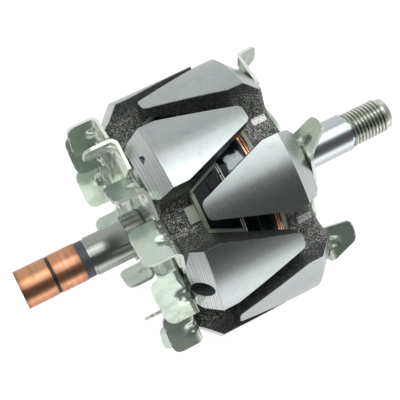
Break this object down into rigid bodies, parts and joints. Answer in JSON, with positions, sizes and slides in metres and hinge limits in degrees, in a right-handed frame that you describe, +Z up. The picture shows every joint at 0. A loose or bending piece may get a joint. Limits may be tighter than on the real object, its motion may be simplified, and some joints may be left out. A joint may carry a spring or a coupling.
{
  "type": "alternator rotor",
  "caption": "Claw-pole rotor of a vehicle alternator, with its shaft, field winding, slip rings and cooling fans; it spins inside the stator.",
  "frame": {"origin": "on the shaft's axis at the middle of the pole body, which is the middle of the bounding box", "axes": "+X along the shaft from the slip rings to the threaded drive end, +Z up through the middle of one claw, +Y across"},
  "size_m": [0.1568, 0.096, 0.096],
  "materials": {
    "shaft_steel": "ground",
    "pole_steel": "turned outside, rough forged sides",
    "ring_copper": "brushed",
    "carrier_plastic": "moulded",
    "nylon": "moulded",
    "winding": "enamelled wire",
    "varnish": "glossy varnish",
    "zinc_sheet": "zinc plated"
  },
  "bodies": {
    "root": {"shaft": "shaft_steel", "lead_strip": "carrier_plastic", "ring_carrier": "carrier_plastic", "slip_ring_outer": "ring_copper", "slip_ring_inner": "ring_copper", "pole_core": "pole_steel", "drive_pole_half": "pole_steel", "rear_pole_half": "pole_steel", "bobbin": "nylon", "field_coil": "winding", "coil_lead_outer": "winding", "coil_lead_inner": "winding", "coil_wrap": "varnish", "drive_fan": "zinc_sheet", "rear_fan": "zinc_sheet"}
  },
  "joints": []
}
